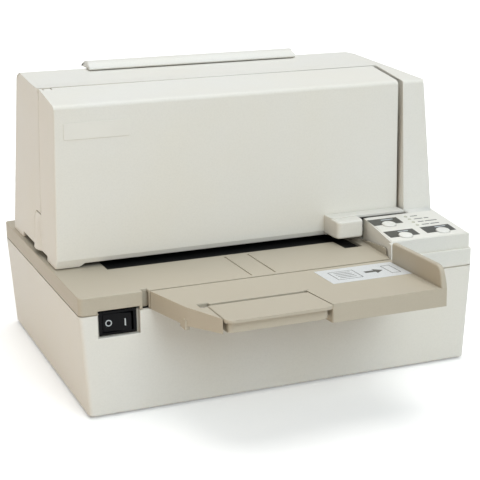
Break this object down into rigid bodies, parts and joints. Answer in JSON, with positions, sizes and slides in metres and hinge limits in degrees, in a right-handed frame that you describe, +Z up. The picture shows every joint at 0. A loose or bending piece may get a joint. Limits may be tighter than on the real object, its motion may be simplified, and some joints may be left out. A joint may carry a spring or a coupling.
{
  "type": "dot matrix printer",
  "caption": "Flatbed dot matrix slip printer with a hinged front cover, sloped button panel, rocker switch, slip table with a drop leaf, and a belt-driven print carriage.",
  "frame": {"origin": "on the desk, below the middle of the whole outline", "axes": "+X to the right seen from the front, +Y to the back, +Z up"},
  "size_m": [0.252, 0.266, 0.1849],
  "materials": {
    "off_white": "fine moulded texture, satin",
    "beige": "fine moulded texture",
    "dark_plastic": "fine moulded texture",
    "black_plastic": "smooth",
    "panel_film": "smooth film",
    "label_dark": "printed film",
    "label_pale": "printed film",
    "button_white": "smooth",
    "mark_white": "printed",
    "led_clear": "clear",
    "steel": "zinc plated sheet and ground rod",
    "motor_grey": "painted can",
    "aluminium": "machined",
    "brass": "sintered",
    "gear_white": "moulded",
    "rubber": "ground",
    "board_green": "solder mask",
    "ribbon": "inked nylon"
  },
  "bodies": {
    "case": {"lower_case": "off_white", "rubber_feet": "rubber", "deck_cover": "beige", "rear_housing": "off_white", "cover_hinge_pins": "steel", "exit_guide": "off_white", "panel_overlay": "panel_film", "button_labels": "label_dark", "led_lenses": "led_clear", "panel_board": "board_green", "tact_switches": "dark_plastic", "slip_table": "beige", "leaf_pins": "steel", "table_label": "label_pale", "switch_body": "black_plastic", "base_chassis": "steel", "case_screws": "steel", "left_frame": "steel", "right_frame": "steel", "rear_plate": "steel", "guide_shaft": "steel", "guide_rail": "steel", "ribbon_cartridge": "dark_plastic", "ribbon_band": "ribbon", "carriage_motor": "motor_grey", "idler_pin": "steel", "timing_belt": "rubber", "front_bed": "dark_plastic", "upper_guide": "dark_plastic", "platen_bar": "steel", "platen_pad": "rubber", "feed_motor": "motor_grey", "rear_chute": "beige", "inner_chute": "beige", "main_board": "board_green", "board_parts": "dark_plastic", "rear_connectors": "dark_plastic"},
    "cover": {"front_cover": "off_white", "name_plate": "panel_film"},
    "button_1": {"button_left_rear": "button_white"},
    "button_2": {"button_left_front": "button_white"},
    "button_3": {"button_right_front": "button_white"},
    "leaf": {"table_leaf": "beige"},
    "rocker": {"switch_rocker": "black_plastic", "rocker_marks": "mark_white"},
    "carriage_body": {"carriage": "dark_plastic", "carriage_bushes": "brass", "print_head": "motor_grey", "head_heatsink": "aluminium"},
    "drive_pulley": {"motor_pulley": "aluminium"},
    "return_pulley": {"idler_pulley": "aluminium"},
    "knob": {"ribbon_knob": "dark_plastic"},
    "front_feed": {"front_feed_shaft": "steel", "feed_rollers_front": "rubber"},
    "rear_feed": {"rear_feed_shaft": "steel", "feed_rollers_rear": "rubber"},
    "feed_gear": {"feed_idler_gear": "gear_white"},
    "feed_drive": {"feed_pinion": "brass"},
    "front_pinch": {"pinch_front": "rubber"},
    "rear_pinch": {"pinch_rear": "rubber"}
  },
  "joints": [
    {"name": "cover_hinge", "type": "hinge", "parent": "case", "child": "cover", "pos_m": [0, 0.03198, 0.17368], "axis": [-1, 0, 0], "range_deg": [0, 75]},
    {"name": "leaf_hinge", "type": "hinge", "parent": "case", "child": "leaf", "pos_m": [0, -0.1034, 0.064], "axis": [1, 0, 0], "range_deg": [0, 90]},
    {"name": "rocker_tilt", "type": "hinge", "parent": "case", "child": "rocker", "pos_m": [-0.103, -0.0558, 0.0552], "axis": [0, 0, 1], "range_deg": [0, 18]},
    {"name": "button_1_press", "type": "slide", "parent": "case", "child": "button_1", "axis": [0, 0.1191, -0.9929], "range_m": [0, 0.001], "stiffness_N_per_m": 600, "springref_m": -0.0005},
    {"name": "button_2_press", "type": "slide", "parent": "case", "child": "button_2", "axis": [0, 0.1191, -0.9929], "range_m": [0, 0.001], "stiffness_N_per_m": 600, "springref_m": -0.0005},
    {"name": "button_3_press", "type": "slide", "parent": "case", "child": "button_3", "axis": [0, 0.1191, -0.9929], "range_m": [0, 0.001], "stiffness_N_per_m": 600, "springref_m": -0.0005},
    {"name": "carriage_slide", "type": "slide", "parent": "case", "child": "carriage_body", "axis": [1, 0, 0], "range_m": [-0.06, 0.06]},
    {"name": "drive_pulley_spin", "type": "hinge", "parent": "case", "child": "drive_pulley", "pos_m": [0.098, 0.084, 0.1045], "axis": [0, 0, 1], "continuous": true},
    {"name": "return_pulley_spin", "type": "hinge", "parent": "case", "child": "return_pulley", "pos_m": [-0.094, 0.084, 0.1045], "axis": [0, 0, 1], "continuous": true},
    {"name": "knob_spin", "type": "hinge", "parent": "case", "child": "knob", "pos_m": [-0.082, 0.0116, 0.0985], "axis": [0, 0, 1], "continuous": true},
    {"name": "front_feed_spin", "type": "hinge", "parent": "case", "child": "front_feed", "pos_m": [0, 0.021, 0.0652], "axis": [1, 0, 0], "continuous": true},
    {"name": "rear_feed_spin", "type": "hinge", "parent": "case", "child": "rear_feed", "pos_m": [0, 0.055, 0.0652], "axis": [1, 0, 0], "continuous": true},
    {"name": "feed_gear_spin", "type": "hinge", "parent": "case", "child": "feed_gear", "pos_m": [-0.112, 0.038, 0.05466], "axis": [1, 0, 0], "continuous": true},
    {"name": "feed_drive_spin", "type": "hinge", "parent": "case", "child": "feed_drive", "pos_m": [-0.112, 0.038, 0.03706], "axis": [1, 0, 0], "continuous": true},
    {"name": "front_pinch_spin", "type": "hinge", "parent": "case", "child": "front_pinch", "pos_m": [0, 0.021, 0.0765], "axis": [1, 0, 0], "continuous": true},
    {"name": "rear_pinch_spin", "type": "hinge", "parent": "case", "child": "rear_pinch", "pos_m": [0, 0.055, 0.0765], "axis": [1, 0, 0], "continuous": true}
  ],
  "couplings": [
    {"joint": "drive_pulley_spin", "follows": "carriage_slide", "rad_per_m": 157.08},
    {"joint": "return_pulley_spin", "follows": "carriage_slide", "rad_per_m": 157.08},
    {"joint": "rear_feed_spin", "follows": "front_feed_spin", "ratio": 1},
    {"joint": "feed_gear_spin", "follows": "front_feed_spin", "ratio": -0.5625},
    {"joint": "feed_drive_spin", "follows": "front_feed_spin", "ratio": 1.5},
    {"joint": "front_pinch_spin", "follows": "front_feed_spin", "ratio": -1.2},
    {"joint": "rear_pinch_spin", "follows": "front_feed_spin", "ratio": -1.2}
  ]
}
